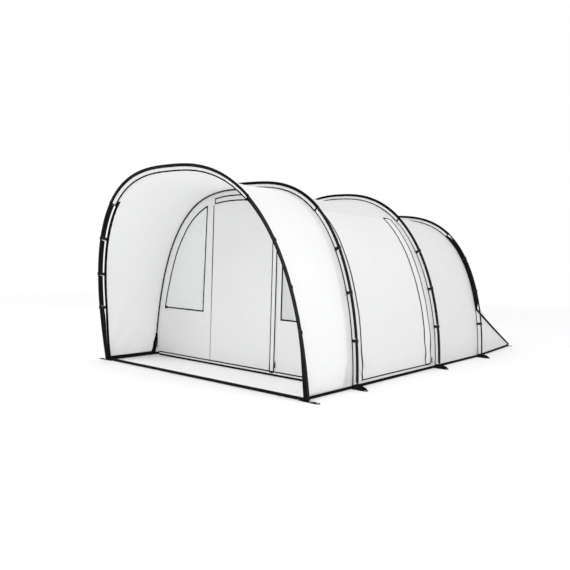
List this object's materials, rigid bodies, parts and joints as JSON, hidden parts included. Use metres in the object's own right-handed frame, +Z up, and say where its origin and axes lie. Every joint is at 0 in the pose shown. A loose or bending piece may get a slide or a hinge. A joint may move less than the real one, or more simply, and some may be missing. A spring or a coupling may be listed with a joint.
{
  "type": "tunnel tent",
  "caption": "Tunnel tent on arched outside poles, with an open front canopy, a windowed front with a zipped door, a lifting side door and an inner bedroom.",
  "frame": {"origin": "on the ground, at the middle of the footprint box", "axes": "+X to the side that has the side door, +Y from the front canopy to the rear, +Z up"},
  "size_m": [2.804, 5.0014, 1.8497],
  "materials": {
    "fly_cloth": "coated polyester, fine plain weave, faint sheen",
    "sleeve_cloth": "coated polyester with a black pocket along the pole",
    "inner_cloth": "breathable polyester, matt",
    "groundsheet": "coated woven polyethylene",
    "hem_black": "black coated hem band",
    "webbing_black": "ribbed black webbing",
    "window_film": "clear flexible film",
    "pole_black": "black glass-fibre rod, satin",
    "clip_plastic": "moulded black plastic",
    "steel": "zinc-plated steel"
  },
  "bodies": {
    "tent": {"bedroom_canopy": "inner_cloth", "bedroom_floor_tub": "groundsheet", "bedroom_front_wall": "inner_cloth", "clip_strip_1_left": "clip_plastic", "clip_strip_1_right": "clip_plastic", "clip_strip_2_left": "clip_plastic", "clip_strip_2_right": "clip_plastic", "clip_strip_3_left": "clip_plastic", "clip_strip_3_right": "clip_plastic", "clip_strip_4_left": "clip_plastic", "clip_strip_4_right": "clip_plastic", "door_head_band": "fly_cloth", "fly_bedroom": "fly_cloth", "fly_living": "fly_cloth", "fly_porch": "fly_cloth", "fly_rear": "fly_cloth", "foot_tab_1_left": "webbing_black", "foot_tab_1_right": "webbing_black", "foot_tab_2_left": "webbing_black", "foot_tab_2_right": "webbing_black", "foot_tab_3_left": "webbing_black", "foot_tab_3_right": "webbing_black", "foot_tab_4_left": "webbing_black", "foot_tab_4_right": "webbing_black", "front_panel": "fly_cloth", "front_sill": "hem_black", "front_strap": "webbing_black", "living_groundsheet": "groundsheet", "pole_1": "pole_black", "pole_2": "pole_black", "pole_3": "pole_black", "pole_4": "pole_black", "rear_tab_centre": "webbing_black", "rear_tab_left": "webbing_black", "rear_tab_right": "webbing_black", "ring_pin_1_left": "steel", "ring_pin_1_right": "steel", "ring_pin_2_left": "steel", "ring_pin_2_right": "steel", "ring_pin_3_left": "steel", "ring_pin_3_right": "steel", "ring_pin_4_left": "steel", "ring_pin_4_right": "steel", "sleeve_1": "sleeve_cloth", "sleeve_2": "sleeve_cloth", "sleeve_3": "sleeve_cloth", "sleeve_4": "sleeve_cloth", "window_film_left": "window_film", "window_film_right": "window_film"},
    "front_door": {"front_door_leaf": "fly_cloth", "front_storm_flap": "fly_cloth"},
    "front_slider": {"front_zip_slider": "steel"},
    "front_puller": {"front_zip_puller": "clip_plastic"},
    "side_door": {"side_door_leaf": "fly_cloth", "side_storm_flap": "fly_cloth"},
    "side_slider": {"side_zip_slider": "steel"},
    "side_puller": {"side_zip_puller": "clip_plastic"},
    "bedroom_door": {"bedroom_door_leaf": "inner_cloth"},
    "bedroom_slider": {"bedroom_zip_slider": "steel"},
    "bedroom_puller": {"bedroom_zip_puller": "clip_plastic"}
  },
  "joints": [
    {"name": "front_door_swing", "type": "hinge", "parent": "tent", "child": "front_door", "pos_m": [-0.4185, -1.5531, 0.8], "axis": [0, 0, -1], "range_deg": [0, 110]},
    {"name": "front_zip_run", "type": "slide", "parent": "tent", "child": "front_slider", "axis": [0, 0, 1], "range_m": [0, 1.38]},
    {"name": "front_pull_lift", "type": "hinge", "parent": "front_slider", "child": "front_puller", "pos_m": [0.4455, -1.5608, 0.13], "axis": [-1, 0, 0], "range_deg": [0, 170]},
    {"name": "side_door_lift", "type": "hinge", "parent": "tent", "child": "side_door", "pos_m": [0.6938, -0.6866, 1.5456], "axis": [0, -1, 0], "range_deg": [0, 95]},
    {"name": "side_zip_run", "type": "hinge", "parent": "tent", "child": "side_slider", "pos_m": [-1.5235, -0.0231, 0.0065], "axis": [0, -1, 0], "range_deg": [0, 16.6]},
    {"name": "side_pull_lift", "type": "hinge", "parent": "side_slider", "child": "side_puller", "pos_m": [1.2544, -0.0231, 0.1103], "axis": [0, -1, 0], "range_deg": [0, 170]},
    {"name": "bedroom_door_swing", "type": "hinge", "parent": "tent", "child": "bedroom_door", "pos_m": [-0.5185, 0.1769, 0.8], "axis": [0, 0, -1], "range_deg": [0, 100]},
    {"name": "bedroom_zip_run", "type": "slide", "parent": "tent", "child": "bedroom_slider", "axis": [0, 0, 1], "range_m": [0, 1.2]},
    {"name": "bedroom_pull_lift", "type": "hinge", "parent": "bedroom_slider", "child": "bedroom_puller", "pos_m": [0.3105, 0.1694, 0.19], "axis": [-1, 0, 0], "range_deg": [0, 170]}
  ]
}
